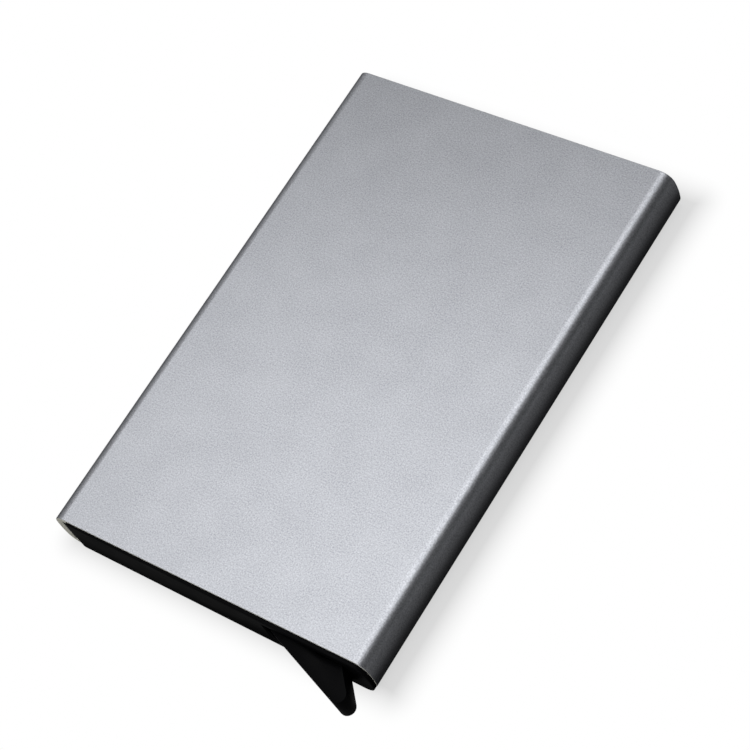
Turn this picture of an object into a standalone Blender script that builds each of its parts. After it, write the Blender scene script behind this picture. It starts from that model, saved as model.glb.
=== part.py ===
"""Pop-up card case: a flat extruded aluminium sleeve that shields the cards in it.

A moulded base plugs into one end. A bell-crank lever turns on a steel pin in the
base. Its fin stands out of a window in the end, and its stepped arm lies under
the cards. Pulling the fin along the end swings the arm up, and each step lifts
one card, so that the cards come out of the mouth as a staircase. Two guide rails
with spring fingers and four felt strips hold the cards in line.

X is the width, Y the length with the mouth at +Y, and Z the thickness. The origin
is the centre of the sleeve's back face. Lengths are in metres, angles in radians.
"""

from math import acos, asin, atan2, cos, hypot, pi, radians, sin, sqrt

import bmesh
import bpy
from mathutils import Matrix

# The extruded sleeve.
CASE_WIDTH = 0.0640
CASE_LENGTH = 0.0950
CASE_THICKNESS = 0.0085
BROAD_WALL = 0.0011
NARROW_WALL = 0.0018
CASE_CORNER_RADIUS = 0.0024
SIDE_CROWN_RADIUS = 0.0140
CAVITY_CORNER_RADIUS = 0.0005
CUT_EDGE_CHAMFER = 0.00010

# Gaps between pieces, and how far a cutter runs past what it cuts.
FIT_GAP = 0.0002
SEAT_GAP = 0.0001
RUNNING_GAP = 0.00025
OVERRUN = 0.0005

# The cards that the case is made for, and the felt that grips them.
CARD_COUNT = 6
FELT_THICKNESS = 0.0005
FELT_WIDTH = 0.0080
FELT_SPACING = 0.0300
FELT_CORNER_RADIUS = 0.0015
FELT_MOUTH_INSET = 0.0030
FELT_ARM_GAP = 0.0040

# The steel pin, and the place of its axis in the sleeve.
PIVOT_INSET = 0.0062
PIVOT_DEPTH = 0.0055
PIN_RADIUS = 0.0010
PIN_CHAMFER = 0.0002

# The lever: hub, arm with its steps, and fin.
HUB_RADIUS = 0.0035
LEVER_WALL_GAP = 0.00065
LEVER_SWING = radians(38)
STEPPED_SHARE = 0.6
NOSE_RADIUS = 0.0012
ARM_TIP_DEPTH = 0.0039
ARM_TIP_GAP = 0.0015
ARM_WALL_GAP = 0.0004
STOP_CORNER_RADIUS = 0.00415
STOP_GAP = 0.0001
STOP_FLAT_LENGTH = 0.0012
FIN_REACH = 0.0056
FIN_LEAN = 0.00345
FIN_TIP_RADIUS = 0.00135
FIN_FLANK_ANGLE = radians(19.7)
LEVER_EDGE_RADIUS = 0.00018
CORE_WALL = 0.0010
CORE_CORNER_RADIUS = 0.0004

# The moulded base and its cover. The flange tapers towards its left end.
FLANGE_THICKNESS = 0.0007
FLANGE_LEFT_THICKNESS = 0.00025
FLANGE_LEFT_SETBACK = 0.0006
FLANGE_INSET = 0.00005
FLANGE_CORNER_RADIUS = 0.0005
FLANGE_EDGE_RADIUS = 0.00015
PLUG_CORNER_RADIUS = 0.0004
END_WALL = 0.0010
BAY_CORNER_RADIUS = 0.0005
CRUSH_RIB_RADIUS = 0.0004
CRUSH_RIB_SPACING = 0.0030
CRUSH_RIB_LEAD = 0.0012
LEFT_CHEEK_WIDTH = 0.0027
ARM_REST_WIDTH = 0.0030
LUG_RADIUS = 0.0062
LUG_THICKNESS = 0.00075
CHEEK_GAP = 0.0003
PEG_RADIUS = 0.0005
PEG_LENGTH = 0.0020
PEG_SPACING = 0.0040

# The guide rails and their spring fingers.
RAIL_WIDTH = 0.0025
RAIL_WEB = 0.0008
RAIL_LIP = 0.0007
RAIL_CHAMFER = 0.0004
RAIL_MOUTH_INSET = 0.0010
LEAD_IN_DEPTH = 0.0005
LEAD_IN_LENGTH = 0.0020
FINGER_COUNT = 3
FINGER_LENGTH = 0.0150
FINGER_THICKNESS = 0.0005
FINGER_BOW = 0.0004
FINGER_SLOT = 0.0004

# How finely round shapes are divided.
CORNER_STEPS = 8
SIDE_STEPS = 4
ROUND_STEPS = 32
FINGER_STEPS = 10
SHARP_ANGLE = radians(30)
BEVEL_ANGLE = radians(50)

# Places that follow from the sizes.
NEAR_END = -CASE_LENGTH / 2
MOUTH = CASE_LENGTH / 2
MID_HEIGHT = CASE_THICKNESS / 2
CAVITY_SIDE = CASE_WIDTH / 2 - NARROW_WALL
CAVITY_LOW = BROAD_WALL
CAVITY_HIGH = CASE_THICKNESS - BROAD_WALL
CAVITY_HEIGHT = CAVITY_HIGH - CAVITY_LOW

PLUG_SIDE = CAVITY_SIDE - FIT_GAP
PLUG_LOW = CAVITY_LOW + FIT_GAP
PLUG_HIGH = CAVITY_HIGH - FIT_GAP
FLANGE_BACK = NEAR_END - SEAT_GAP
FLANGE_FACE = FLANGE_BACK - FLANGE_THICKNESS

PIVOT_X = CAVITY_SIDE - PIVOT_INSET
PIVOT_Y = NEAR_END + PIVOT_DEPTH
BASE_TOP = PIVOT_Y + HUB_RADIUS
END_WALL_TOP = NEAR_END + END_WALL
CHEEK_FACE = HUB_RADIUS + CHEEK_GAP

LEVER_LOW = CAVITY_LOW + LEVER_WALL_GAP
LEVER_HIGH = CAVITY_HIGH - LEVER_WALL_GAP
HUB_LOW = PLUG_LOW + LUG_THICKNESS + RUNNING_GAP
HUB_HIGH = PLUG_HIGH - LUG_THICKNESS - RUNNING_GAP
COVER_LOW = PLUG_HIGH - LUG_THICKNESS
CHEEK_HIGH = COVER_LOW - FIT_GAP
ARM_RADIUS = PIVOT_X + PLUG_SIDE - RAIL_WIDTH - ARM_TIP_GAP
STEP_RUN = ARM_RADIUS * STEPPED_SHARE / (CARD_COUNT - 1)

CARD_SPACE_LOW = PLUG_LOW + FELT_THICKNESS
CARD_SPACE_HIGH = PLUG_HIGH - FELT_THICKNESS
CARD_PITCH = (CARD_SPACE_HIGH - CARD_SPACE_LOW) / CARD_COUNT

# Outlines of the fin, seen from the pin's axis.
FACE_V = FLANGE_FACE - PIVOT_Y
FIN_TIP_U = HUB_RADIUS + FIN_LEAN - FIN_TIP_RADIUS
FIN_TIP_V = FACE_V - FIN_REACH + FIN_TIP_RADIUS


def remove_everything():
    """Empty the scene of the objects that it opened with."""
    for thing in list(bpy.data.objects):
        bpy.data.objects.remove(thing, do_unlink=True)


def make_material(name, colour, metallic, roughness):
    """A Principled BSDF material of one colour."""
    material = bpy.data.materials.new(name)
    material.use_nodes = True
    shader = material.node_tree.nodes["Principled BSDF"]
    shader.inputs["Base Color"].default_value = (*colour, 1.0)
    shader.inputs["Metallic"].default_value = metallic
    shader.inputs["Roughness"].default_value = roughness
    material.diffuse_color = (*colour, 1.0)
    return material


def anodised_aluminium():
    """Bead-blasted, clear-anodised extrusion."""
    return make_material("anodised_aluminium", (0.62, 0.63, 0.66), 1.0, 0.42)


def black_abs():
    """Moulded black ABS of the base."""
    return make_material("black_abs", (0.012, 0.012, 0.013), 0.0, 0.45)


def black_acetal():
    """Moulded black acetal of the lever."""
    return make_material("black_acetal", (0.010, 0.010, 0.011), 0.0, 0.38)


def rail_plastic():
    """Dark grey moulded plastic of the guide rails."""
    return make_material("rail_plastic", (0.030, 0.030, 0.032), 0.0, 0.50)


def pin_steel():
    """Ground steel of the pin."""
    return make_material("pin_steel", (0.55, 0.55, 0.56), 1.0, 0.25)


def grey_felt():
    """Pressed felt of the friction strips."""
    return make_material("grey_felt", (0.050, 0.050, 0.055), 0.0, 0.95)


def shade(mesh):
    """Shade a mesh smooth where it is round and sharp at its edges."""
    mesh.shade_smooth()
    mesh.set_sharp_from_angle(angle=SHARP_ANGLE)


def add_object(name, shape, material, place=(0, 0, 0)):
    """Turn a bmesh into an object with outward faces, shaded smooth where it is round."""
    bmesh.ops.recalc_face_normals(shape, faces=shape.faces)
    mesh = bpy.data.meshes.new(name)
    shape.to_mesh(mesh)
    shape.free()
    shade(mesh)
    if material:
        mesh.materials.append(material)
    thing = bpy.data.objects.new(name, mesh)
    thing.location = place
    bpy.context.scene.collection.objects.link(thing)
    return thing


def arc(centre, radius, start, end, steps):
    """Points on a circle from one angle to another, both ends included."""
    turns = [start + (end - start) * step / steps for step in range(steps + 1)]
    return [(centre[0] + radius * cos(turn), centre[1] + radius * sin(turn)) for turn in turns]


def rounded_corner(before, corner, after, radius, steps=CORNER_STEPS // 2):
    """The arc that rounds a corner between two straight edges."""
    towards = atan2(before[1] - corner[1], before[0] - corner[0])
    away = atan2(after[1] - corner[1], after[0] - corner[0])
    opening = (away - towards + pi) % (2 * pi) - pi
    reach = radius / sin(abs(opening) / 2)
    middle = towards + opening / 2
    centre = (corner[0] + reach * cos(middle), corner[1] + reach * sin(middle))
    turn = 1 if opening > 0 else -1
    start = towards - turn * pi / 2
    sweep = opening - turn * pi
    return arc(centre, radius, start, start + sweep, steps)


def rounded_outline(corners, radius):
    """A closed outline of straight edges, all its corners rounded alike."""
    outline = []
    for count, corner in enumerate(corners):
        after = corners[(count + 1) % len(corners)]
        outline += rounded_corner(corners[count - 1], corner, after, radius)
    return outline


def prism(outline, low, high):
    """A plan outline in X and Y, drawn up from one height to another."""
    shape = bmesh.new()
    floor = shape.faces.new([shape.verts.new((x, y, low)) for x, y in outline])
    drawn = bmesh.ops.extrude_face_region(shape, geom=[floor])
    raised = [item for item in drawn["geom"] if isinstance(item, bmesh.types.BMVert)]
    bmesh.ops.translate(shape, verts=raised, vec=(0, 0, high - low))
    return shape


def long_prism(section, near, far):
    """A section in X and Z, drawn along Y from one place to another."""
    shape = bmesh.new()
    start = shape.faces.new([shape.verts.new((x, near, z)) for x, z in section])
    drawn = bmesh.ops.extrude_face_region(shape, geom=[start])
    moved = [item for item in drawn["geom"] if isinstance(item, bmesh.types.BMVert)]
    bmesh.ops.translate(shape, verts=moved, vec=(0, far - near, 0))
    return shape


def rectangle(left, near, right, far):
    """Corner points of an upright rectangle."""
    return [(left, near), (right, near), (right, far), (left, far)]


def bridge(shape, rings):
    """Join each ring of points to the next one with four-sided faces."""
    for ring, after in zip(rings, rings[1:]):
        for step in range(len(ring)):
            onward = (step + 1) % len(ring)
            shape.faces.new((ring[step], ring[onward], after[onward], after[step]))


def turned(profile, steps=ROUND_STEPS):
    """A closed solid turned about Z from a profile of radius and height."""
    shape = bmesh.new()
    rings = []
    for radius, height in profile:
        points = arc((0, 0), radius, 0, 2 * pi, steps)[:-1]
        rings.append([shape.verts.new((x, y, height)) for x, y in points])
    bridge(shape, rings)
    shape.faces.new(rings[0])
    shape.faces.new(rings[-1])
    return shape


def rod(radius, low, high):
    """A plain round bar along Z."""
    return turned([(radius, low), (radius, high)])


def helper(name, shape, place=(0, 0, 0)):
    """An object that only shapes another one."""
    thing = add_object(name, shape, None, place)
    thing.hide_render = True
    thing.display_type = "WIRE"
    return thing


def combine(target, operation, shape, name, place=(0, 0, 0)):
    """Join a shape to an object, cut it out, or keep what the two share."""
    modifier = target.modifiers.new(name, "BOOLEAN")
    modifier.operation = operation
    modifier.solver = "EXACT"
    modifier.object = helper(target.name + "_" + name, shape, place)


def settle(target):
    """Apply an object's modifiers, drop the shapes that made them, and shade the result."""
    helpers = [modifier.object for modifier in target.modifiers if modifier.type == "BOOLEAN"]
    evaluated = target.evaluated_get(bpy.context.evaluated_depsgraph_get())
    mesh = bpy.data.meshes.new_from_object(evaluated)
    mesh.name = target.name
    shade(mesh)
    target.modifiers.clear()
    target.data = mesh
    for thing in helpers:
        bpy.data.objects.remove(thing, do_unlink=True)
    return target


def section_ring(half_width, half_height, corner, crown=0):
    """A rounded oblong in X and Z about its centre, as a list of points.

    With a crown radius the two short sides bow out on that radius, and the corner
    arcs run into them smoothly. Without one the short sides are straight.
    """
    rise = half_height - corner
    lean = asin(rise / (crown - corner)) if crown else 0
    reach = half_width - crown + (crown - corner) * cos(lean) if crown else half_width - corner
    upper = arc((reach, rise), corner, pi / 2, lean, CORNER_STEPS)
    shares = [step / SIDE_STEPS * 2 - 1 for step in range(1, SIDE_STEPS)]
    if crown:
        middle = half_width - crown
        side = [(middle + crown * cos(lean * share), -crown * sin(lean * share)) for share in shares]
    else:
        side = [(half_width, -rise * share) for share in shares]
    right = upper + side + [(x, -z) for x, z in reversed(upper)]
    return right + [(-x, z) for x, z in reversed(right)]


def sleeve_ring(inset, inside):
    """One ring of the sleeve's outer or inner surface, moved in by an inset."""
    if inside:
        ring = section_ring(CAVITY_SIDE + inset, CAVITY_HEIGHT / 2 + inset, CAVITY_CORNER_RADIUS + inset)
    else:
        ring = section_ring(CASE_WIDTH / 2 - inset, MID_HEIGHT - inset,
                            CASE_CORNER_RADIUS - inset, SIDE_CROWN_RADIUS - inset)
    return [(x, z + MID_HEIGHT) for x, z in ring]


def make_sleeve():
    """The extruded tube, its cut ends broken by a small chamfer inside and out."""
    stations = [
        (CUT_EDGE_CHAMFER, False, NEAR_END),
        (0, False, NEAR_END + CUT_EDGE_CHAMFER),
        (0, False, MOUTH - CUT_EDGE_CHAMFER),
        (CUT_EDGE_CHAMFER, False, MOUTH),
        (CUT_EDGE_CHAMFER, True, MOUTH),
        (0, True, MOUTH - CUT_EDGE_CHAMFER),
        (0, True, NEAR_END + CUT_EDGE_CHAMFER),
        (CUT_EDGE_CHAMFER, True, NEAR_END),
    ]
    shape = bmesh.new()
    rings = []
    for inset, inside, y in stations:
        rings.append([shape.verts.new((x, y, z)) for x, z in sleeve_ring(inset, inside)])
    bridge(shape, rings + rings[:1])
    return add_object("case_sleeve", shape, anodised_aluminium())


def fin_outline():
    """The fin from the hub's right side round the tip to the heel, clockwise."""
    root = (HUB_RADIUS, FACE_V)
    spread = hypot(FIN_TIP_U - root[0], FIN_TIP_V - root[1])
    bearing = atan2(FIN_TIP_V - root[1], FIN_TIP_U - root[0])
    flank = bearing + asin(FIN_TIP_RADIUS / spread)
    centre = (FIN_TIP_U, FIN_TIP_V)
    tip = arc(centre, FIN_TIP_RADIUS, flank + pi / 2, -pi / 2 - FIN_FLANK_ANGLE, CORNER_STEPS)
    along = (FACE_V - tip[-1][1]) / sin(FIN_FLANK_ANGLE)
    heel_start = (tip[-1][0] - along * cos(FIN_FLANK_ANGLE), FACE_V)
    return [root] + tip + [heel_start]


def swing_radius():
    """Distance from the pin to the outermost corner that swings through the window."""
    return hypot(*fin_outline()[-1])


def heel_outline():
    """The back of the fin, on the circle that clears the window's edge."""
    start = fin_outline()[-1]
    depth = END_WALL_TOP + ARM_WALL_GAP - PIVOT_Y
    radius = swing_radius()
    first = atan2(start[1], start[0])
    last = -pi - asin(depth / radius)
    return arc((0, 0), radius, first, last, CORNER_STEPS // 2)[1:]


def hub_outline():
    """The top of the hub: the flat that stops the swing, and the round below it."""
    stop = CHEEK_FACE - STOP_GAP
    corner_turn = LEVER_SWING + acos(stop / STOP_CORNER_RADIUS)
    corner = (STOP_CORNER_RADIUS * cos(corner_turn), STOP_CORNER_RADIUS * sin(corner_turn))
    foot = (corner[0] + STOP_FLAT_LENGTH * sin(LEVER_SWING),
            corner[1] - STOP_FLAT_LENGTH * cos(LEVER_SWING))
    below = atan2(foot[1], foot[0]) / 2
    return [(0, HUB_RADIUS), corner, foot] + arc((0, 0), HUB_RADIUS, below, 0, CORNER_STEPS // 2)


def arm_bottom(reach):
    """Where the arm's lower edge, which runs from the heel to the tip, is at a reach from the pin."""
    heel = heel_outline()[-1]
    tip_low = HUB_RADIUS - ARM_TIP_DEPTH
    share = (reach + heel[0]) / (ARM_RADIUS + heel[0])
    return heel[1] + (tip_low - heel[1]) * share


def arm_noses():
    """The end of each step of the arm, from its upper edge down to its lower edge."""
    heel = heel_outline()[-1]
    noses = []
    for step in range(CARD_COUNT):
        reach = ARM_RADIUS - STEP_RUN * step
        lower = (-reach, arm_bottom(reach))
        upper = (-reach, HUB_RADIUS)
        noses.append(rounded_corner((0, HUB_RADIUS), upper, lower, NOSE_RADIUS)
                     + rounded_corner(upper, lower, heel, NOSE_RADIUS))
    return noses


def terraced_solid(body, noses, floor, tops):
    """A solid with a flat underside and one flat top for each terrace.

    noses[k] crosses the arm from its upper to its lower edge, terrace k lies
    between noses[k] and noses[k + 1], and the body closes the last one.
    """
    shape = bmesh.new()
    spots = {}

    def spot(point, height):
        key = (point, height)
        if key not in spots:
            spots[key] = shape.verts.new((point[0], point[1], height))
        return spots[key]

    def panel(first, first_heights, second, second_heights):
        corners = [spot(first, height) for height in first_heights]
        corners += [spot(second, height) for height in reversed(second_heights)]
        shape.faces.new(corners)

    last = len(noses) - 1
    edge = [[floor, tops[0]]] + [[floor, tops[k - 1], tops[k]] for k in range(1, last + 1)]
    for k, nose in enumerate(noses):
        below = tops[k - 1] if k else floor
        for first, second in zip(nose, nose[1:]):
            panel(first, [below, tops[k]], second, [below, tops[k]])
    for k in range(last):
        for end in (0, -1):
            panel(noses[k][end], edge[k], noses[k + 1][end], [floor, tops[k]])
        outline = noses[k] + noses[k + 1][::-1]
        shape.faces.new([spot(point, tops[k]) for point in outline])
    ring = [noses[last][0]] + body + [noses[last][-1]]
    for first, second in zip(ring, ring[1:]):
        first_heights = edge[last] if first == ring[0] else [floor, tops[last]]
        second_heights = edge[last] if second == ring[-1] else [floor, tops[last]]
        panel(first, first_heights, second, second_heights)
    shape.faces.new([spot(point, tops[last]) for point in ring[:-1] + noses[last][::-1][:-1]])
    lower_edge = [nose[-1] for nose in noses[:0:-1]]
    upper_edge = [nose[0] for nose in noses[1:]]
    underside = body + lower_edge + noses[0][::-1] + upper_edge
    shape.faces.new([spot(point, floor) for point in underside])
    return shape


def core_pockets(tops):
    """Plan and roof of each pocket in the arm's underside.

    A step that is thick enough is hollowed from below, as a moulding is to keep its
    walls even. A wall is left all round it, and a rib under the face of each step.
    """
    pockets = []
    for step, top in enumerate(tops):
        roof = top - CORE_WALL
        if roof - LEVER_LOW < CORE_WALL:
            continue
        far = ARM_RADIUS - STEP_RUN * step - CORE_WALL
        near = ARM_RADIUS - STEP_RUN * (step + 1)
        if top == tops[-1]:
            near = LUG_RADIUS + RUNNING_GAP + CORE_WALL
        high = HUB_RADIUS - CORE_WALL
        corners = [(-far, arm_bottom(far) + CORE_WALL), (-near, arm_bottom(near) + CORE_WALL),
                   (-near, high), (-far, high)]
        pockets.append((rounded_outline(corners, CORE_CORNER_RADIUS), roof))
    return pockets


def make_lever():
    """The one-piece bell crank: stepped arm cored from below, hub between the lugs, and fin."""
    tops = [CARD_SPACE_LOW + CARD_PITCH * (k + 1) for k in range(CARD_COUNT - 1)] + [LEVER_HIGH]
    body = hub_outline() + fin_outline() + heel_outline()
    shape = terraced_solid(body, arm_noses(), LEVER_LOW, tops)
    place = (PIVOT_X, PIVOT_Y, 0)
    lever = add_object("ejector_lever", shape, black_acetal(), place)
    recess = LUG_RADIUS + RUNNING_GAP
    combine(lever, "DIFFERENCE", rod(recess, LEVER_LOW - OVERRUN, HUB_LOW), "lower_recess", place)
    combine(lever, "DIFFERENCE", rod(recess, HUB_HIGH, LEVER_HIGH + OVERRUN), "upper_recess", place)
    bore = rod(PIN_RADIUS + FIT_GAP, LEVER_LOW, LEVER_HIGH)
    combine(lever, "DIFFERENCE", bore, "bore", place)
    for count, (outline, roof) in enumerate(core_pockets(tops)):
        pocket = prism(outline, LEVER_LOW - OVERRUN, roof)
        combine(lever, "DIFFERENCE", pocket, "core_%d" % count, place)
    bevel = lever.modifiers.new("edges", "BEVEL")
    bevel.width = LEVER_EDGE_RADIUS
    bevel.segments = 2
    bevel.limit_method = "ANGLE"
    bevel.angle_limit = BEVEL_ANGLE
    return settle(lever)


def lug_outline(near, far):
    """Round lug about the pin that runs out square to the right side, clockwise."""
    low = near - PIVOT_Y
    high = far - PIVOT_Y
    low_turn = -pi - asin(low / LUG_RADIUS)
    high_turn = -pi - asin(high / LUG_RADIUS)
    left = arc((PIVOT_X, PIVOT_Y), LUG_RADIUS, low_turn, high_turn, 2 * CORNER_STEPS)
    return left + [(PLUG_SIDE, far), (PLUG_SIDE, END_WALL_TOP), (PIVOT_X + HUB_RADIUS, END_WALL_TOP),
                   (PIVOT_X + sqrt(LUG_RADIUS ** 2 - low ** 2), near)]


def lever_bay():
    """Plan of the space that the base leaves for the lever."""
    right = PIVOT_X + CHEEK_FACE
    left = -PLUG_SIDE + LEFT_CHEEK_WIDTH
    rest = left + ARM_REST_WIDTH
    rest_top = PIVOT_Y + HUB_RADIUS - ARM_TIP_DEPTH - RUNNING_GAP
    window_left = PIVOT_X - swing_radius() - RUNNING_GAP
    past_front = FLANGE_FACE - OVERRUN
    past_top = BASE_TOP + OVERRUN
    corners = [(left, past_top), (left, rest_top), (rest, rest_top), (rest, END_WALL_TOP),
               (window_left, END_WALL_TOP)]
    moulded = []
    for before, corner, after in zip(corners, corners[1:], corners[2:]):
        moulded += rounded_corner(before, corner, after, BAY_CORNER_RADIUS)
    right_side = [(right, past_front), (right, past_top)]
    return right_side + corners[:1] + moulded + corners[-1:] + [(window_left, past_front)]


def peg_places():
    """Centres of the two pegs that locate the cover on the right cheek."""
    x = PIVOT_X + (CHEEK_FACE + PLUG_SIDE - PIVOT_X) / 2
    return [(x, PIVOT_Y - PEG_SPACING / 2), (x, PIVOT_Y + PEG_SPACING / 2)]


def flange_ring(inset):
    """The sleeve's outline moved in by an inset, cut off near the end of its flat on the left."""
    outline = section_ring(CASE_WIDTH / 2 - inset, MID_HEIGHT - inset,
                           CASE_CORNER_RADIUS - inset, SIDE_CROWN_RADIUS - inset)
    right = outline[:len(outline) // 2]
    left = FLANGE_LEFT_SETBACK + inset - FLANGE_INSET - right[0][0]
    high = right[0][1]
    radius = FLANGE_CORNER_RADIUS + FLANGE_INSET - inset
    lower_corner = rounded_corner(right[-1], (left, -high), (left, high), radius)
    return right + lower_corner + rounded_corner((left, -high), (left, high), right[0], radius)


def flange_face(x):
    """Where the flange's outer face is in Y, at a place across the width."""
    share = x / CASE_WIDTH + 1 / 2
    return FLANGE_BACK - FLANGE_LEFT_THICKNESS - (FLANGE_THICKNESS - FLANGE_LEFT_THICKNESS) * share


def flange():
    """The plate over the sleeve's cut end, thickest at the lever, its outer edge rounded off."""
    shape = bmesh.new()
    rings = [[shape.verts.new((x, FLANGE_BACK, z + MID_HEIGHT)) for x, z in flange_ring(FLANGE_INSET)]]
    for turn in (0, pi / 4, pi / 2):
        inset = FLANGE_EDGE_RADIUS * (1 - cos(turn))
        sink = FLANGE_EDGE_RADIUS * (1 - sin(turn))
        points = [(x, flange_face(x) + sink, z) for x, z in flange_ring(FLANGE_INSET + inset)]
        rings.append([shape.verts.new((x, y, z + MID_HEIGHT)) for x, y, z in points])
    bridge(shape, rings)
    shape.faces.new(rings[0])
    shape.faces.new(rings[-1])
    return shape


def crush_ribs():
    """Round ribs on the plug's two narrow sides, which the sleeve squeezes when it goes on."""
    ribs = []
    reach = PLUG_SIDE + FIT_GAP - SEAT_GAP - CRUSH_RIB_RADIUS
    for side in (-1, 1):
        for step in (-1, 1):
            centre = (side * reach, MID_HEIGHT + step * CRUSH_RIB_SPACING / 2)
            section = arc(centre, CRUSH_RIB_RADIUS, 0, 2 * pi, ROUND_STEPS // 2)[:-1]
            ribs.append(long_prism(section, END_WALL_TOP, BASE_TOP - CRUSH_RIB_LEAD))
    return ribs


def make_base_frame():
    """The moulding that closes the sleeve: flange, end wall, cheeks, crush ribs and lower lug."""
    half_height = (PLUG_HIGH - PLUG_LOW) / 2
    section = [(x, z + MID_HEIGHT) for x, z in section_ring(PLUG_SIDE, half_height, PLUG_CORNER_RADIUS)]
    buried = FLANGE_BACK - FLANGE_LEFT_THICKNESS / 2
    frame = add_object("base_frame", long_prism(section, buried, BASE_TOP), black_abs())
    neck_left = FLANGE_LEFT_SETBACK + FIT_GAP - flange_ring(0)[0][0]
    shoulder = rectangle(-CAVITY_SIDE, buried - OVERRUN, neck_left, NEAR_END + FIT_GAP)
    combine(frame, "DIFFERENCE", prism(shoulder, CAVITY_LOW, CAVITY_HIGH), "shoulder")
    bay = prism(lever_bay(), CAVITY_LOW, CAVITY_HIGH)
    combine(frame, "DIFFERENCE", bay, "bay")
    cover_seat = rectangle(PIVOT_X, END_WALL_TOP, CAVITY_SIDE, BASE_TOP + OVERRUN)
    combine(frame, "DIFFERENCE", prism(cover_seat, CHEEK_HIGH, CAVITY_HIGH), "cover_seat")
    lug = prism(lug_outline(buried, BASE_TOP), PLUG_LOW, PLUG_LOW + LUG_THICKNESS)
    combine(frame, "UNION", lug, "lug")
    combine(frame, "UNION", flange(), "flange")
    window = rectangle(PIVOT_X - swing_radius() - RUNNING_GAP, LEVER_LOW - RUNNING_GAP,
                       PIVOT_X + CHEEK_FACE, LEVER_HIGH + RUNNING_GAP)
    combine(frame, "DIFFERENCE", long_prism(window, FLANGE_FACE - OVERRUN, FLANGE_BACK), "window")
    for count, rib in enumerate(crush_ribs()):
        combine(frame, "UNION", rib, "crush_rib_%d" % count)
    pin_hole = rod(PIN_RADIUS + FIT_GAP, CAVITY_LOW, HUB_LOW)
    combine(frame, "DIFFERENCE", pin_hole, "pin_hole", (PIVOT_X, PIVOT_Y, 0))
    for count, (x, y) in enumerate(peg_places()):
        hole = rod(PEG_RADIUS + FIT_GAP, CHEEK_HIGH - PEG_LENGTH - FIT_GAP, CHEEK_HIGH + OVERRUN)
        combine(frame, "DIFFERENCE", hole, "peg_hole_%d" % count, (x, y, 0))
    return settle(frame)


def make_base_cover():
    """The plate with the upper lug, pegged on the right cheek."""
    near = NEAR_END + FIT_GAP
    outline = lug_outline(near, BASE_TOP)
    cover = add_object("base_cover", prism(outline, COVER_LOW, PLUG_HIGH), black_abs())
    combine(cover, "DIFFERENCE", rod(PIN_RADIUS + FIT_GAP, HUB_HIGH, CAVITY_HIGH), "pin_hole",
            (PIVOT_X, PIVOT_Y, 0))
    for count, (x, y) in enumerate(peg_places()):
        peg = rod(PEG_RADIUS, CHEEK_HIGH - PEG_LENGTH, COVER_LOW + LUG_THICKNESS / 2)
        combine(cover, "UNION", peg, "peg_%d" % count, (x, y, 0))
    return settle(cover)


def make_pin():
    """The steel dowel through both lugs and the hub."""
    profile = [
        (PIN_RADIUS - PIN_CHAMFER, PLUG_LOW),
        (PIN_RADIUS, PLUG_LOW + PIN_CHAMFER),
        (PIN_RADIUS, PLUG_HIGH - PIN_CHAMFER),
        (PIN_RADIUS - PIN_CHAMFER, PLUG_HIGH),
    ]
    return add_object("pivot_pin", turned(profile), pin_steel(), (PIVOT_X, PIVOT_Y, 0))


def rail_section():
    """Channel section of a rail, its web towards the cards at the origin."""
    low = PLUG_LOW
    high = PLUG_HIGH
    return [
        (0, low), (RAIL_WIDTH - RAIL_CHAMFER, low), (RAIL_WIDTH, low + RAIL_CHAMFER),
        (RAIL_WIDTH, low + RAIL_LIP), (RAIL_WEB, low + RAIL_LIP),
        (RAIL_WEB, high - RAIL_LIP), (RAIL_WIDTH, high - RAIL_LIP),
        (RAIL_WIDTH, high - RAIL_CHAMFER), (RAIL_WIDTH - RAIL_CHAMFER, high), (0, high),
    ]


def finger_outline(root, tip):
    """Plan of a spring finger that bows towards the cards and ends free."""
    shares = [step / FINGER_STEPS for step in range(FINGER_STEPS + 1)]
    front = [(-FINGER_BOW * sin(pi * share) ** 2 + RAIL_WEB / 4 * (1 - share), root + (tip - root) * share)
             for share in shares]
    back = [(x + FINGER_THICKNESS, y) for x, y in reversed(front)]
    return front + back


def mirrored(shape):
    """The same shape on the other side of the YZ plane."""
    bmesh.ops.transform(shape, matrix=Matrix.Scale(-1, 4, (1, 0, 0)), verts=shape.verts)
    return shape


def make_rail(name, side):
    """A guide rail with its spring fingers. side is 1 on the right and -1 on the left."""
    hand = mirrored if side < 0 else (lambda shape: shape)
    near = BASE_TOP + FIT_GAP
    far = MOUTH - RAIL_MOUTH_INSET
    place = (side * (PLUG_SIDE - RAIL_WIDTH), 0, 0)
    rail = add_object(name, hand(long_prism(rail_section(), near, far)), rail_plastic(), place)
    lead_in = [(-OVERRUN, far - LEAD_IN_LENGTH), (0, far - LEAD_IN_LENGTH), (LEAD_IN_DEPTH, far),
               (LEAD_IN_DEPTH, far + OVERRUN), (-OVERRUN, far + OVERRUN)]
    combine(rail, "DIFFERENCE", hand(prism(lead_in, CAVITY_LOW, CAVITY_HIGH)), "lead_in", place)
    pitch = (far - near) / FINGER_COUNT
    slot_low = PLUG_LOW + RAIL_LIP
    slot_high = PLUG_HIGH - RAIL_LIP
    for count in range(FINGER_COUNT):
        start = near + pitch * (count + 1 / 2) - FINGER_LENGTH / 2
        end = start + FINGER_LENGTH
        slot = prism(rectangle(-OVERRUN, start, RAIL_WEB + OVERRUN, end + FINGER_SLOT), slot_low, slot_high)
        combine(rail, "DIFFERENCE", hand(slot), "slot_%d" % count, place)
        outline = finger_outline(start - FINGER_SLOT, end)
        finger = prism(outline, slot_low + FINGER_SLOT, slot_high - FINGER_SLOT)
        combine(rail, "UNION", hand(finger), "finger_%d" % count, place)
    return settle(rail)


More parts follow.
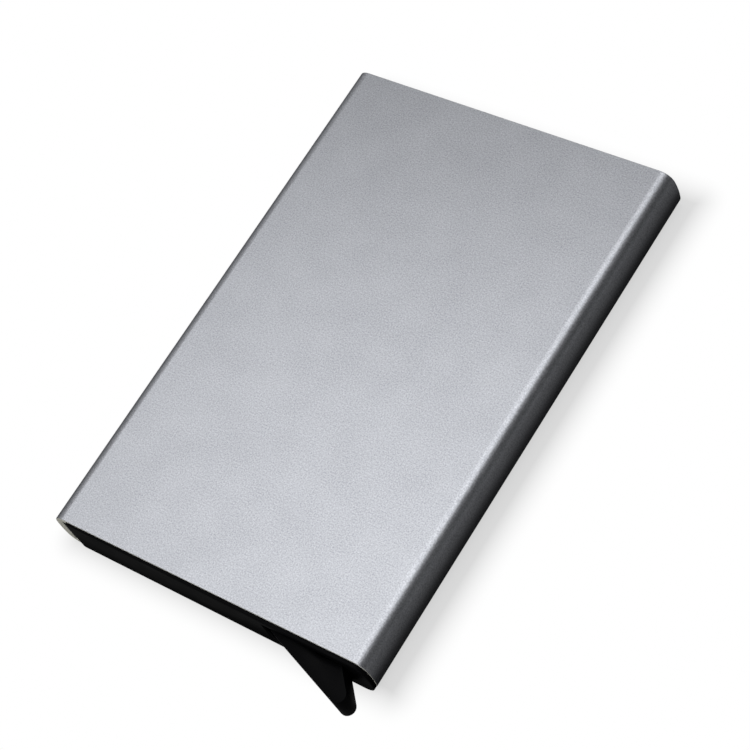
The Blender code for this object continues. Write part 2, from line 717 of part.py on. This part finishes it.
def felt_outline(near, far):
    """A strip with rounded corners, centred on its own middle line."""
    ring = []
    half = FELT_WIDTH / 2
    radius = FELT_CORNER_RADIUS
    for x, y, start in ((half, far, 0), (-half, far, 1), (-half, near, 2), (half, near, 3)):
        centre = (x - radius if x > 0 else x + radius, y - radius if y == far else y + radius)
        ring += arc(centre, radius, start * pi / 2, (start + 1) * pi / 2, CORNER_STEPS // 2)
    return ring


def make_felts():
    """Two strips on the back wall and two on the front wall, clear of the arm's swing."""
    near = PIVOT_Y + ARM_RADIUS * sin(LEVER_SWING) + HUB_RADIUS + FELT_ARM_GAP
    far = MOUTH - FELT_MOUTH_INSET
    felt = grey_felt()
    for wall, low in (("back", PLUG_LOW), ("front", PLUG_HIGH - FELT_THICKNESS)):
        for hand, side in (("left", -1), ("right", 1)):
            shape = prism(felt_outline(near, far), low, low + FELT_THICKNESS)
            add_object("felt_%s_%s" % (wall, hand), shape, felt, (side * FELT_SPACING / 2, 0, 0))


def main():
    """Build every piece of the case."""
    remove_everything()
    make_sleeve()
    make_base_frame()
    make_base_cover()
    make_pin()
    make_lever()
    make_rail("left_guide_rail", -1)
    make_rail("right_guide_rail", 1)
    make_felts()


main()
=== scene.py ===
from math import cos, pi, radians, sin

import bmesh
import bpy
import numpy as np
from mathutils import Matrix, Vector


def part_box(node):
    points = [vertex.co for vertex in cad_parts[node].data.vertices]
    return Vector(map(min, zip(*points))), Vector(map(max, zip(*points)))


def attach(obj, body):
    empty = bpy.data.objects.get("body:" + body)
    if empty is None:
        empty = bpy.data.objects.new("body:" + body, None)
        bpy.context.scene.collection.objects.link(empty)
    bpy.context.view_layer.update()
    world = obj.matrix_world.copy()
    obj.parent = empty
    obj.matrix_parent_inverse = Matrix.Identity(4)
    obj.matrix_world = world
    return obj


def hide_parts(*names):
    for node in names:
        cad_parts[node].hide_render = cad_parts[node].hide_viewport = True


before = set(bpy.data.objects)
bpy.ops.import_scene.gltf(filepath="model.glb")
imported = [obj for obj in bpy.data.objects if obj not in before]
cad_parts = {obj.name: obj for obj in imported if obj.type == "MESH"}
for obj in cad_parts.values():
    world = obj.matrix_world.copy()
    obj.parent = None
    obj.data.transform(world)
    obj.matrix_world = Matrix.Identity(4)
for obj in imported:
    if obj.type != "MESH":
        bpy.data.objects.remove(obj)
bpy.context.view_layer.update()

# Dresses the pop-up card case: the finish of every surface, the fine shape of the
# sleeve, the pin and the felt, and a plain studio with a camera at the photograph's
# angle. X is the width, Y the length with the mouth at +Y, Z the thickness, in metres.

MM = 0.001

# The sleeve's section, as it is extruded.
CASE_WIDTH = 64.0 * MM
CASE_LENGTH = 95.0 * MM
CASE_THICKNESS = 8.5 * MM
BROAD_WALL = 1.1 * MM
NARROW_WALL = 1.8 * MM
CORNER_RADIUS = 2.4 * MM
SIDE_CROWN_RADIUS = 14.0 * MM
CAVITY_CORNER_RADIUS = 0.5 * MM
CUT_EDGE_CHAMFER = 0.1 * MM

# How finely the sleeve is divided.
CORNER_STEPS = 40
SIDE_STEPS = 16
EDGE_STEPS = 6

# The steel pin's broken edge, and how finely it is turned.
PIN_CHAMFER = 0.2 * MM
PIN_SIDES = 96

# The felt: the spacing of its points, its rounded rim and the height of its nap.
FELT_GRID = 0.3 * MM
FELT_CORNER = 1.5 * MM
FELT_RIM = 0.25 * MM
FELT_NAP = 0.05 * MM
FELT_SKIN_GAP = 0.02 * MM

# Facets that meet at less than this angle are one smooth surface.
SMOOTH_ANGLE = radians(40)
WELD_DISTANCE = 0.001 * MM

# The camera, fitted to the edges of the case in the photograph: its place, the directions of
# its right and its up, and its lens and sensor in millimetres.
CAMERA_PLACE = (203.248 * MM, -122.671 * MM, 324.794 * MM)
CAMERA_RIGHT = (0.79776, 0.521189, -0.303218)
CAMERA_UP = (-0.32891, 0.797604, 0.505615)
CAMERA_LENS = 117.59
CAMERA_SENSOR = 36.0
CAMERA_NEAREST = 1.0 * MM

# The studio's floor, a hair under the case.
FLOOR_SIZE = 12.0
FLOOR_GAP = 0.02 * MM

# One softbox hangs over the case, a little to its left, and a lamp in it makes it brighter at
# the far right. Each is a rectangle: left, near, right and far edges, height, glow.
SOFTBOX = (-355.0 * MM, -140.0 * MM, 236.0 * MM, 221.0 * MM, 400.0 * MM, 2.06)
SOFTBOX_LAMP = (-30.0 * MM, 160.0 * MM, 170.0 * MM, 380.0 * MM, 398.0 * MM, 0.70)
SOFTBOX_TURN = radians(8)

# Soft windows in the room's walls, to the left, the near end, the right and the far end. Each
# has a direction, a brightness, and the half angles in degrees within which it is full and
# beyond which it is dark.
WINDOWS = [
    ((-0.86, 0.29, 0.42), 0.45, 8, 29),
    ((0.0, -0.94, 0.33), 1.30, 20, 50),
    ((0.72, -0.65, 0.25), 0.85, 10, 42),
    ((-0.10, 0.96, 0.27), 1.00, 18, 44),
]
ROOM_LIGHT = 0.04

# The floor's glow is painted darker towards a patch as large as the case, shifted a little to
# the right and the far side: a painted shadow, not one cast by the lamps. Each ramp gives two
# distances from the patch, and how white the floor is at them. The eye sees a short shadow:
# the paper's real shadow, and painted shade where the glow gives way to the grey paper. The
# metal sees the floor from low down, with a painted dark line under the case and a painted
# long shadow past it.
PAINTED_SHADOW_SHIFT = (1.5 * MM, 0.8 * MM, 0.0)
SEEN_RAMP = (-8.0 * MM, 6.0 * MM, 0.0, 1.0)
PAINTED_CONTACT_SHADE_RAMP = (0.8 * MM, 3.5 * MM, 0.0, 0.16)
PAINTED_LONG_SHADOW_RAMP = (80.0 * MM, 1600.0 * MM, 0.0, 0.81)


def linear(code):
    """An sRGB hex colour as linear red, green, blue and an opaque alpha."""
    values = [int(code[start:start + 2], 16) / 255 for start in (1, 3, 5)]
    return (*[v / 12.92 if v <= 0.04045 else ((v + 0.055) / 1.055) ** 2.4 for v in values], 1.0)


def feed(node, inputs):
    """Set a node's inputs to values, or link them to the outputs that feed them.

    inputs are in the order of the node's sockets, or keyed by the sockets' names or numbers.
    """
    pairs = inputs.items() if isinstance(inputs, dict) else enumerate(inputs)
    for socket, value in pairs:
        if isinstance(value, bpy.types.NodeSocket):
            node.id_data.links.new(value, node.inputs[socket])
        else:
            node.inputs[socket].default_value = value


def add_node(tree, kind, inputs=(), output=0, **settings):
    """Add one node, set its properties and inputs, and give back one of its outputs."""
    node = tree.nodes.new("ShaderNode" + kind)
    for name, value in settings.items():
        setattr(node, name, value)
    feed(node, inputs)
    return node.outputs[output]


def new_material(name, code, metallic, roughness):
    """A material with its shader, and the Object coordinates that its patterns are drawn in."""
    material = bpy.data.materials.new(name)
    material.use_nodes = True
    tree = material.node_tree
    shader = tree.nodes["Principled BSDF"]
    feed(shader, {"Base Color": linear(code), "Metallic": metallic, "Roughness": roughness})
    return material, tree, shader, add_node(tree, "TexCoord", output="Object")


# Kinds of noise: how many finer layers it has, and how strong each is against the one before.
SOFT = {"Detail": 2.0, "Roughness": 0.5}
RINGED = {"Detail": 2.0, "Roughness": 0.6}
CLOUDED = {"Detail": 3.0, "Roughness": 0.55}
GRAINY = {"Detail": 3.0, "Roughness": 0.6}
TANGLED = {"Detail": 4.0, "Roughness": 0.7}

# Noise seldom leaves this range, which is stretched to the one that a finish needs.
NOISE_RANGE = (0.3, 0.7)

# A Mix node of colours has them at these two inputs, and what it mixes at this output.
FIRST, SECOND, MIXED = 6, 7, 2

# Blasting leaves dimples of about 0.1 mm. They are drawn at 0.25 mm, to show in the picture.
BLAST_DIMPLE = 0.25 * MM
BLAST_DEPTH = 0.014 * MM
BLAST_CLOUD = 7.0 * MM
BLAST_GRAIN_SHARE = 0.88
BLAST_ROUGHNESS = 0.40

# The mill's fine marks on the cut ends scatter some of the light.
MILLED_ROUGHNESS = 0.45
MILLED_METALLIC = 0.50


def blasted_aluminium():
    """Extruded 6063 aluminium, bead-blasted and clear anodised.

    The eye sees an even matt grey with a very fine sparkle and faint clouds. Its two cut
    ends were milled after blasting, and are a little paler, warmer and duller.
    """
    material, tree, shader, place = new_material(
        "blasted_anodised_aluminium", "#a9acb3", 1.0, BLAST_ROUGHNESS)
    grain = add_node(tree, "TexNoise", {"Vector": place, "Scale": 1 / BLAST_DIMPLE, **GRAINY})
    cloud = add_node(tree, "TexNoise", {"Vector": place, "Scale": 1 / BLAST_CLOUD, **CLOUDED})
    fine = add_node(tree, "MapRange", (grain, *NOISE_RANGE, 0.0, BLAST_GRAIN_SHARE))
    broad = add_node(tree, "MapRange", (cloud, *NOISE_RANGE, 0.0, 1 - BLAST_GRAIN_SHARE))
    tone = add_node(tree, "Math", (fine, broad), operation="ADD")
    grey = {0: tone, FIRST: linear("#8f9197"), SECOND: linear("#c1c3c8")}
    blasted = add_node(tree, "Mix", grey, MIXED, data_type="RGBA")
    along = add_node(tree, "SeparateXYZ", (place,), "Y")
    from_middle = add_node(tree, "Math", (along,), operation="ABSOLUTE")
    end = CASE_LENGTH / 2
    edge = (end - CUT_EDGE_CHAMFER / 2, end - CUT_EDGE_CHAMFER / 4)
    cut = add_node(tree, "MapRange", (from_middle, *edge, 0.0, 1.0))
    both = {0: cut, FIRST: blasted, SECOND: linear("#d8d7cb")}
    roughness = (cut, 0.0, 1.0, BLAST_ROUGHNESS, MILLED_ROUGHNESS)
    relief = {"Height": grain, "Strength": 1.0, "Distance": BLAST_DEPTH}
    feed(shader, {
        "Base Color": add_node(tree, "Mix", both, MIXED, data_type="RGBA"),
        "Roughness": add_node(tree, "MapRange", roughness),
        "Metallic": add_node(tree, "MapRange", (cut, 0.0, 1.0, 1.0, MILLED_METALLIC)),
        "Specular Tint": linear("#b4b4b4"),
        "Normal": add_node(tree, "Bump", relief),
    })
    return material


# A spark-eroded mould leaves a fine matt texture of these sizes, and handling leaves it a
# little smoother in patches. The photograph's black is deep, so the gloss is weak.
ABS_TEXTURE = 0.18 * MM
ACETAL_TEXTURE = 0.25 * MM
RAIL_TEXTURE = 0.20 * MM
TEXTURE_DEPTH = 0.012 * MM
HANDLING_PATCH = 5.0 * MM
HANDLING_CHANGE = 0.06
PLASTIC_GLOSS = 0.03


def moulded_black(name, code, roughness, texture_size):
    """Black moulded plastic: dull and even, with a texture that shows only from near by."""
    material, tree, shader, place = new_material(name, code, 0.0, roughness)
    texture = add_node(tree, "TexNoise", {"Vector": place, "Scale": 1 / texture_size, **GRAINY})
    patches = add_node(tree, "TexNoise", {"Vector": place, "Scale": 1 / HANDLING_PATCH, **SOFT})
    smoother, rougher = roughness - HANDLING_CHANGE, roughness + HANDLING_CHANGE
    relief = {"Height": texture, "Strength": 0.6, "Distance": TEXTURE_DEPTH}
    feed(shader, {
        "Roughness": add_node(tree, "MapRange", (patches, *NOISE_RANGE, smoother, rougher)),
        "Specular IOR Level": PLASTIC_GLOSS,
        "Normal": add_node(tree, "Bump", relief),
    })
    return material


# The grinding wheel leaves rings of this width and depth, much longer than they are wide.
GRIND_WIDTH = 0.08 * MM
GRIND_DEPTH = 0.003 * MM
GRIND_SQUEEZE = (0.05, 0.05, 1.0)


def ground_steel():
    """Ground dowel steel: bright, with fine rings round it."""
    material, tree, shader, place = new_material("ground_steel", "#c3c3c4", 1.0, 0.24)
    squeezed = add_node(tree, "Mapping", {"Vector": place, "Scale": GRIND_SQUEEZE})
    rings = add_node(tree, "TexNoise", {"Vector": squeezed, "Scale": 1 / GRIND_WIDTH, **RINGED})
    relief = {"Height": rings, "Strength": 0.3, "Distance": GRIND_DEPTH}
    feed(shader, {
        "Roughness": add_node(tree, "MapRange", (rings, *NOISE_RANGE, 0.18, 0.34)),
        "Normal": add_node(tree, "Bump", relief),
    })
    return material


# Wool fibres are about 0.03 mm thick. They are drawn at 0.12 mm, to show, and three times as
# long, some along the strip and some across it.
FIBRE_WIDTH = 0.12 * MM
FIBRE_DEPTH = 0.06 * MM
FIBRE_LIES = [(1.0, 0.35, 1.0), (0.35, 1.0, 1.0)]
FIBRE_RANGE = (0.4, 0.7)


def pressed_felt():
    """Grey wool felt: short tangled fibres, quite dull, with a light fuzz at its rim."""
    material, tree, shader, place = new_material("pressed_felt", "#46474b", 0.0, 0.95)
    layers = []
    for squeeze in FIBRE_LIES:
        squeezed = add_node(tree, "Mapping", {"Vector": place, "Scale": squeeze})
        inputs = {"Vector": squeezed, "Scale": 1 / FIBRE_WIDTH, **TANGLED}
        layers.append(add_node(tree, "TexNoise", inputs))
    fibres = add_node(tree, "Math", layers, operation="MAXIMUM")
    fuzz = add_node(tree, "MapRange", (fibres, *FIBRE_RANGE, 0.0, 1.0))
    grey = {0: fuzz, FIRST: linear("#36373a"), SECOND: linear("#5a5b60")}
    relief = {"Height": fibres, "Strength": 0.9, "Distance": FIBRE_DEPTH}
    feed(shader, {
        "Base Color": add_node(tree, "Mix", grey, MIXED, data_type="RGBA"),
        "Sheen Weight": 0.4,
        "Normal": add_node(tree, "Bump", relief),
    })
    return material


def painted_shadow_distance(tree, place):
    """How far a place on the floor is from the patch that the floor's painted shadow is measured
    from.

    The patch is an oblong as large as the case about the shifted origin. What is left of
    |place| past its half width and half length, where that is more than nothing, are the
    two sides of the distance.
    """
    outline = (CASE_WIDTH / 2, CASE_LENGTH / 2, 1.0)
    shifted = add_node(tree, "VectorMath", (place, PAINTED_SHADOW_SHIFT), operation="SUBTRACT")
    folded = add_node(tree, "VectorMath", (shifted,), operation="ABSOLUTE")
    past = add_node(tree, "VectorMath", (folded, outline), operation="SUBTRACT")
    outside = add_node(tree, "VectorMath", (past, (0, 0, 0)), operation="MAXIMUM")
    return add_node(tree, "VectorMath", (outside,), "Value", operation="LENGTH")


def studio_floor():
    """Seamless pale paper without gloss, which glows white away from the case.

    Near the case the glow gives way to the grey paper by distance from a patch about the case,
    painted shade over the paper's real shadow. Rays from a mirror see only the glow, painted
    darker towards the patch as a painted shadow. Only rays from the eye, from a mirror or
    through glass see the glow, so that it puts no light on the case.
    """
    material, tree, shader, place = new_material("pale_paper_painted_shadow", "#9e9e9e", 0.0, 1.0)
    feed(shader, {"Specular IOR Level": 0.0})
    ray = add_node(tree, "LightPath").node.outputs
    rays = (ray["Is Camera Ray"], ray["Is Transmission Ray"])
    direct = add_node(tree, "Math", rays, operation="MAXIMUM")
    distance = painted_shadow_distance(tree, place)
    # The eye sees the grey paper only near the case: painted shade over the paper's real shadow.
    white = add_node(tree, "MapRange", (distance, *SEEN_RAMP), interpolation_type="SMOOTHSTEP")
    seen = add_node(tree, "Math", (direct, white), operation="MULTIPLY")
    share = add_node(tree, "Math", (seen, ray["Is Glossy Ray"]), operation="MAXIMUM")
    # Painted shadow for mirror rays: a dark line under the case and a long shadow past it.
    painted_contact_shade = add_node(tree, "MapRange", (distance, *PAINTED_CONTACT_SHADE_RAMP))
    long = add_node(tree, "MapRange", (distance, *PAINTED_LONG_SHADOW_RAMP), interpolation_type="SMOOTHSTEP")
    mirrored = add_node(tree, "Math", (painted_contact_shade, long), operation="ADD")
    strength = add_node(tree, "Math", (direct, mirrored), operation="MAXIMUM")
    glow = add_node(tree, "Emission", {"Strength": strength})
    paper = add_node(tree, "MixShader", (share, shader.outputs[0], glow))
    feed(tree.nodes["Material Output"], {"Surface": paper})
    return material


def mesh_object(name, points, faces, material):
    """A smooth mesh object of one material, its points in metres in the case's frame."""
    mesh = bpy.data.meshes.new(name)
    mesh.from_pydata(points.tolist(), [], faces)
    mesh.materials.append(material)
    mesh.shade_smooth()
    thing = bpy.data.objects.new(name, mesh)
    bpy.context.scene.collection.objects.link(thing)
    return thing


def grid_faces(rows, columns, close_rows=False, close_columns=False):
    """Four-sided faces between neighbours in a grid of points, numbered row by row."""
    row = np.arange(rows if close_rows else rows - 1)
    column = np.arange(columns if close_columns else columns - 1)
    row, column = np.meshgrid(row, column, indexing="ij")
    after_row = (row + 1) % rows
    after_column = (column + 1) % columns
    corners = [row * columns + column, row * columns + after_column,
               after_row * columns + after_column, after_row * columns + column]
    return np.stack(corners, axis=-1).reshape(-1, 4).tolist()


def wear(piece, node, body):
    """Let a piece stand for a CAD node of its body: hang it on the body and hide the node."""
    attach(piece, body)
    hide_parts(node)


def section(half_width, half_height, corner, crown):
    """Points and outward normals of a rounded oblong in X and Z about its centre.

    A quarter is a corner arc of radius corner, from straight up to the lean where it runs
    into the short side, and then that side's arc of radius crown down to the middle. Where
    crown is 0 the short side is straight. The quarter is mirrored to make the whole ring.
    """
    rise = half_height - corner
    lean = np.arcsin(rise / (crown - corner)) if crown else 0.0
    reach = half_width - crown + (crown - corner) * np.cos(lean) if crown else half_width - corner
    turn = np.linspace(pi / 2, lean, CORNER_STEPS + 1)
    arc = np.stack([reach + corner * np.cos(turn), rise + corner * np.sin(turn)], axis=1)
    arc_normal = np.stack([np.cos(turn), np.sin(turn)], axis=1)
    share = np.linspace(1, 0, SIDE_STEPS + 1)[1:-1]
    if crown:
        bow = lean * share
        side = np.stack([half_width - crown + crown * np.cos(bow), crown * np.sin(bow)], axis=1)
        side_normal = np.stack([np.cos(bow), np.sin(bow)], axis=1)
    else:
        side = np.stack([np.full_like(share, half_width), rise * share], axis=1)
        side_normal = np.stack([np.ones_like(share), np.zeros_like(share)], axis=1)
    upper = np.concatenate([arc, side])
    upper_normal = np.concatenate([arc_normal, side_normal])
    middle = np.array([[half_width, 0.0]])
    right = np.concatenate([upper, middle, upper[::-1] * (1, -1)])
    right_normal = np.concatenate([upper_normal, [[1.0, 0.0]], upper_normal[::-1] * (1, -1)])
    ring = np.concatenate([right, right[::-1] * (-1, 1)])
    normals = np.concatenate([right_normal, right_normal[::-1] * (-1, 1)])
    return ring, normals


def make_sleeve(material):
    """The extruded tube, with a rounded edge at each cut end.

    The first parameter runs round the section. The second runs round the wall: along the
    outside, over the mouth's edge, back along the inside and over the near end's edge. At
    each cut edge the ring moves into the metal by radius * (1 - cos) while Y moves on by
    radius * sin, for a quarter turn.
    """
    middle = CASE_THICKNESS / 2
    cavity_side = CASE_WIDTH / 2 - NARROW_WALL
    cavity_high = middle - BROAD_WALL
    end = CASE_LENGTH / 2
    quarter = np.linspace(0, pi / 2, EDGE_STEPS + 1)
    moved_in = CUT_EDGE_CHAMFER * (1 - np.cos(quarter))
    onward = end - CUT_EDGE_CHAMFER + CUT_EDGE_CHAMFER * np.sin(quarter)
    rows = []
    row_normals = []

    def station(inset, y, inside, tilt):
        """One ring of points at a place along the wall, its normals leaning by tilt to Y."""
        if inside:
            ring, normal = section(cavity_side + inset, cavity_high + inset,
                                   CAVITY_CORNER_RADIUS + inset, 0)
            normal = -normal
        else:
            ring, normal = section(CASE_WIDTH / 2 - inset, middle - inset, CORNER_RADIUS - inset,
                                   SIDE_CROWN_RADIUS - inset)
        rows.append(np.stack([ring[:, 0], np.full(len(ring), y), ring[:, 1] + middle], axis=1))
        flat = abs(cos(tilt))
        row_normals.append(np.stack([normal[:, 0] * flat, np.full(len(ring), sin(tilt)),
                                     normal[:, 1] * flat], axis=1))

    for step in range(EDGE_STEPS, -1, -1):
        station(moved_in[step], -onward[step], False, -quarter[step])
    for step in range(EDGE_STEPS + 1):
        station(moved_in[step], onward[step], False, quarter[step])
    for step in range(EDGE_STEPS, -1, -1):
        station(moved_in[step], onward[step], True, quarter[step])
    for step in range(EDGE_STEPS + 1):
        station(moved_in[step], -onward[step], True, -quarter[step])
    points = np.stack(rows)
    faces = grid_faces(points.shape[0], points.shape[1], True, True)
    sleeve = mesh_object("aluminium_sleeve", points.reshape(-1, 3), faces, material)
    normals = np.stack(row_normals).reshape(-1, 3)
    sleeve.data.normals_split_custom_set_from_vertices(normals.tolist())
    wear(sleeve, "case_sleeve", "case")


def make_pin(material):
    """The dowel: a profile of radius and height, with both ends broken, turned about its axis."""
    low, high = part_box("pivot_pin")
    centre = (low + high) / 2
    radius = (high.x - low.x) / 2
    inner = radius - PIN_CHAMFER
    profile = np.array([(0.0, low.z), (inner, low.z), (radius, low.z + PIN_CHAMFER),
                        (radius, high.z - PIN_CHAMFER), (inner, high.z), (0.0, high.z)])
    turn = np.linspace(0, 2 * pi, PIN_SIDES, endpoint=False)
    x = centre.x + profile[:, :1] * np.cos(turn)
    y = centre.y + profile[:, :1] * np.sin(turn)
    z = np.broadcast_to(profile[:, 1:], x.shape)
    points = np.stack([x, y, z], axis=-1)
    faces = grid_faces(len(profile), PIN_SIDES, False, True)
    pin = mesh_object("steel_pivot_pin", points.reshape(-1, 3), faces, material)
    tidy_surface(pin)
    wear(pin, "pivot_pin", "case")


def tidy_surface(piece):
    """Weld a mesh's doubles, turn its faces outwards and smooth all but its real edges."""
    shape = bmesh.new()
    shape.from_mesh(piece.data)
    bmesh.ops.remove_doubles(shape, verts=shape.verts, dist=WELD_DISTANCE)
    bmesh.ops.recalc_face_normals(shape, faces=shape.faces)
    shape.to_mesh(piece.data)
    shape.free()
    piece.data.shade_smooth()
    piece.data.set_sharp_from_angle(angle=SMOOTH_ANGLE)


def moulding(node, name, body, material):
    """A moulded piece: the node's own shape, welded so that its round parts are smooth."""
    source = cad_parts[node].data.copy()
    source.materials.clear()
    source.materials.append(material)
    piece = bpy.data.objects.new(name, source)
    bpy.context.scene.collection.objects.link(piece)
    tidy_surface(piece)
    wear(piece, node, body)


def make_felt(node, name, faces_up, material, seed):
    """A felt strip glued to a broad wall.

    A grid in X and Y is squeezed into a rounded oblong. Its height over the wall rises
    over the rim as 1 - (1 - d / rim) ** 2 of the distance d from the edge, and random nap
    is taken off the top. The back is flat.
    """
    low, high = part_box(node)
    centre_x, centre_y = (low.x + high.x) / 2, (low.y + high.y) / 2
    half_x, half_y = (high.x - low.x) / 2, (high.y - low.y) / 2
    thickness = high.z - low.z - FELT_SKIN_GAP
    columns = int(2 * half_x / FELT_GRID) + 1
    rows = int(2 * half_y / FELT_GRID) + 1
    u, v = np.meshgrid(np.linspace(-1, 1, columns), np.linspace(-1, 1, rows))
    past = np.clip(np.abs(v) * half_y - (half_y - FELT_CORNER), 0, None)
    width = half_x - FELT_CORNER + np.sqrt(np.clip(FELT_CORNER ** 2 - past ** 2, 0, None))
    x = centre_x + u * width
    y = centre_y + v * half_y
    from_edge = np.minimum((1 - np.abs(u)) * width, (1 - np.abs(v)) * half_y)
    rim = 1 - (1 - np.clip(from_edge / FELT_RIM, 0, 1)) ** 2
    nap = np.random.default_rng(seed).random(u.shape) * FELT_NAP
    height = rim * (thickness - nap)
    if faces_up:
        top = low.z + height
        back = np.full_like(height, low.z)
    else:
        top = high.z - height
        back = np.full_like(height, high.z)
    count = rows * columns
    points = np.concatenate([np.stack([x, y, top], axis=-1).reshape(-1, 3),
                             np.stack([x, y, back], axis=-1).reshape(-1, 3)])
    upper = grid_faces(rows, columns)
    lower = [[corner + count for corner in reversed(face)] for face in upper]
    felt = mesh_object(name, points, upper + lower, material)
    tidy_surface(felt)
    wear(felt, node, "case")


def make_lamp(name, left, near, right, far, height, glow):
    """A rectangle that shines straight down, glow times as bright as white paper."""
    lamp = bpy.data.lights.new(name, "AREA")
    lamp.shape = "RECTANGLE"
    lamp.size = right - left
    lamp.size_y = far - near
    lamp.energy = glow * pi * lamp.size * lamp.size_y
    holder = bpy.data.objects.new(name, lamp)
    holder.location = ((left + right) / 2, (near + far) / 2, height)
    holder.rotation_euler = (0, 0, SOFTBOX_TURN)
    bpy.context.scene.collection.objects.link(holder)


def make_studio():
    """A seamless floor just under the case's back face, two soft lamps and the room's light."""
    corners = np.array([(-1, -1, 0), (1, -1, 0), (1, 1, 0), (-1, 1, 0)])
    points = corners * FLOOR_SIZE / 2 - (0, 0, FLOOR_GAP)
    floor = mesh_object("studio_floor", points, [[0, 1, 2, 3]], studio_floor())
    make_lamp("overhead_softbox", *SOFTBOX)
    make_lamp("softbox_middle", *SOFTBOX_LAMP)
    world = bpy.data.worlds.new("studio_room")
    world.use_nodes = True
    tree = world.node_tree
    direction = add_node(tree, "TexCoord", output="Generated")
    glow = ROOM_LIGHT
    for towards, strength, full, dark in WINDOWS:
        centre = Vector(towards).normalized()
        facing = add_node(tree, "VectorMath", (direction, centre), "Value", operation="DOT_PRODUCT")
        ramp = (cos(radians(dark)), cos(radians(full)), 0.0, strength)
        window = add_node(tree, "MapRange", (facing, *ramp), interpolation_type="SMOOTHSTEP")
        glow = add_node(tree, "Math", (window, glow), operation="ADD")
    feed(tree.nodes["Background"], {"Color": linear("#ffffff"), "Strength": glow})
    bpy.context.scene.world = world


def make_camera():
    """The camera at the photograph's angle."""
    lens = bpy.data.cameras.new("camera")
    lens.lens = CAMERA_LENS
    lens.sensor_width = CAMERA_SENSOR
    lens.clip_start = CAMERA_NEAREST
    holder = bpy.data.objects.new("camera", lens)
    right, up = Vector(CAMERA_RIGHT), Vector(CAMERA_UP)
    back = right.cross(up)
    turned = Matrix((right, up, back)).transposed().to_4x4()
    holder.matrix_world = Matrix.Translation(CAMERA_PLACE) @ turned
    bpy.context.scene.collection.objects.link(holder)
    bpy.context.scene.camera = holder


def dress_case():
    """Every piece of the case, finished."""
    make_sleeve(blasted_aluminium())
    abs_plastic = moulded_black("moulded_black_abs", "#050506", 0.50, ABS_TEXTURE)
    acetal = moulded_black("moulded_black_acetal", "#040405", 0.42, ACETAL_TEXTURE)
    rail_plastic = moulded_black("moulded_grey_abs", "#2b2c2e", 0.55, RAIL_TEXTURE)
    felt = pressed_felt()
    moulding("base_frame", "moulded_base", "case", abs_plastic)
    moulding("base_cover", "moulded_cover", "case", abs_plastic)
    moulding("ejector_lever", "moulded_lever", "lever", acetal)
    moulding("left_guide_rail", "left_rail", "case", rail_plastic)
    moulding("right_guide_rail", "right_rail", "case", rail_plastic)
    make_pin(ground_steel())
    strips = [("back", "left"), ("back", "right"), ("front", "left"), ("front", "right")]
    for seed, strip in enumerate(strips):
        node, name = "felt_%s_%s" % strip, "felt_strip_%s_%s" % strip
        make_felt(node, name, strip[0] == "back", felt, seed)


dress_case()
make_studio()
make_camera()
bpy.context.scene.view_settings.view_transform = "Standard"
